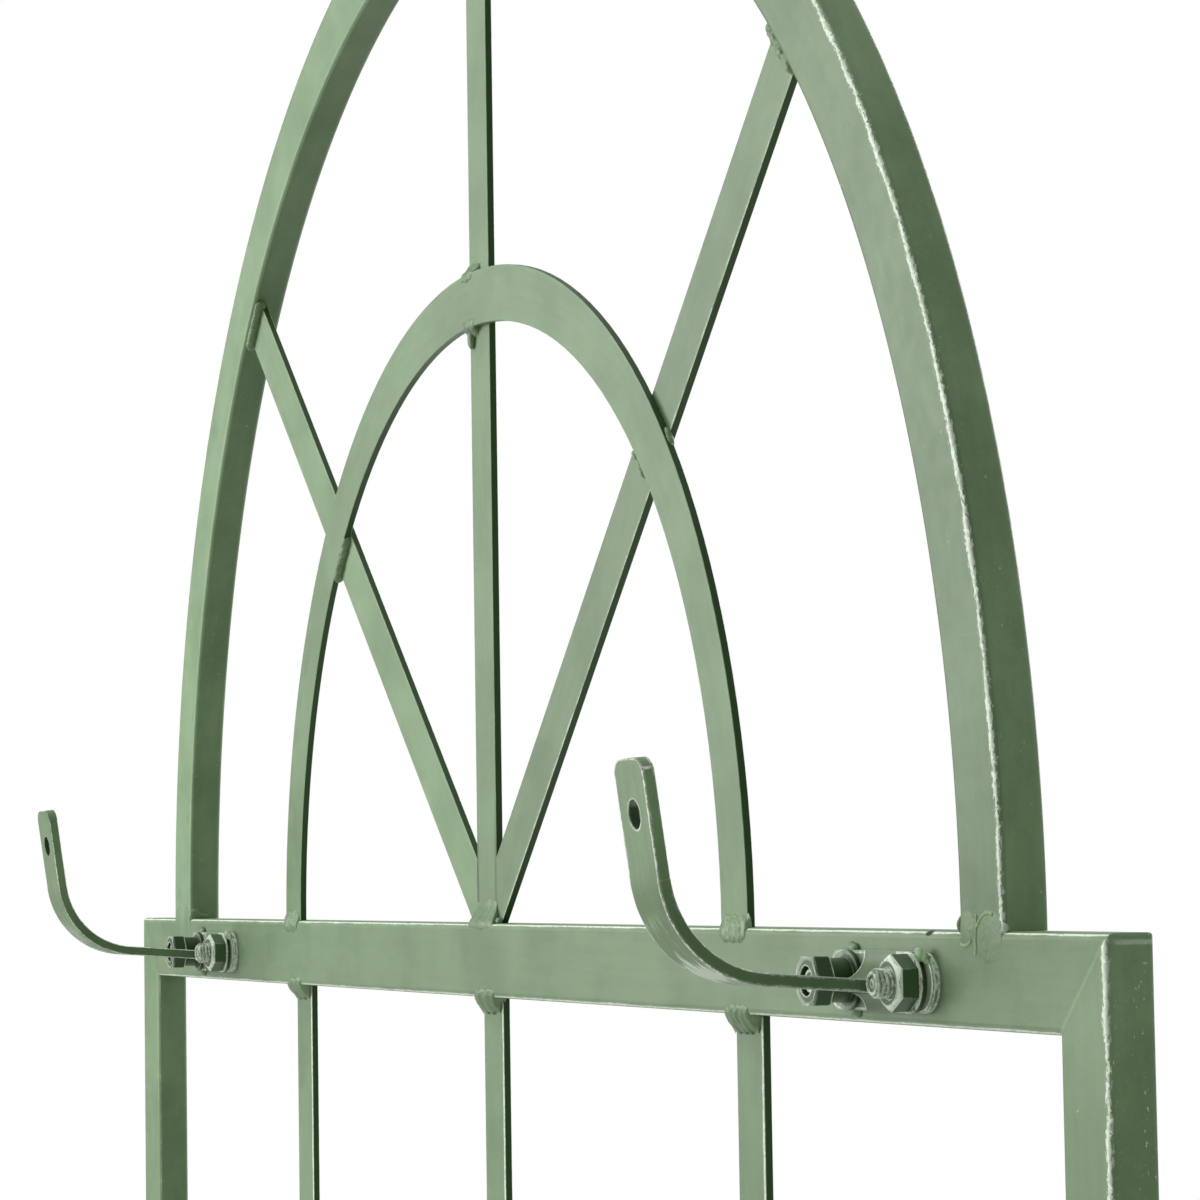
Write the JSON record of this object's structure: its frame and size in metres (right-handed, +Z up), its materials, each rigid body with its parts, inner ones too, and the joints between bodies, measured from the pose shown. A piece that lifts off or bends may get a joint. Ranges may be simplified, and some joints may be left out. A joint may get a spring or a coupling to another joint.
{
  "type": "garden trellis",
  "caption": "Arch-topped metal garden trellis: a tube frame with round arch, a fan of flat bars inside a smaller arch, lower bars, ground stakes, and J-shaped hook arms bolted to the rail.",
  "frame": {"origin": "on the soil line, midway between the two posts, in the plane of the frame's front faces", "axes": "+X along the trellis to the right as seen from the front, +Y from the front to the back, +Z up"},
  "size_m": [0.87, 0.0938, 1.7829],
  "materials": {
    "frame_paint": "worn satin, chipped to a pale undercoat along the edges",
    "hardware_paint": "worn satin, rubbed pale on the corners"
  },
  "bodies": {
    "root": {"left_post": "frame_paint", "right_post": "frame_paint", "top_rail": "frame_paint", "bottom_rail": "frame_paint", "outer_arch": "frame_paint", "inner_arch": "frame_paint", "centre_bar": "frame_paint", "left_diagonal": "frame_paint", "right_diagonal": "frame_paint", "left_lower_bar": "frame_paint", "centre_lower_bar": "frame_paint", "right_lower_bar": "frame_paint", "left_hook_plate": "frame_paint", "right_hook_plate": "frame_paint", "left_hook_arm": "frame_paint", "right_hook_arm": "frame_paint", "left_hook_bolts": "hardware_paint", "right_hook_bolts": "hardware_paint", "left_hook_nuts": "hardware_paint", "right_hook_nuts": "hardware_paint", "left_front_washers": "hardware_paint", "right_front_washers": "hardware_paint", "left_rear_washers": "hardware_paint", "right_rear_washers": "hardware_paint", "left_hook_spacer": "hardware_paint", "right_hook_spacer": "hardware_paint", "left_foot_plug": "hardware_paint", "right_foot_plug": "hardware_paint", "left_stake": "hardware_paint", "right_stake": "hardware_paint"}
  },
  "joints": []
}
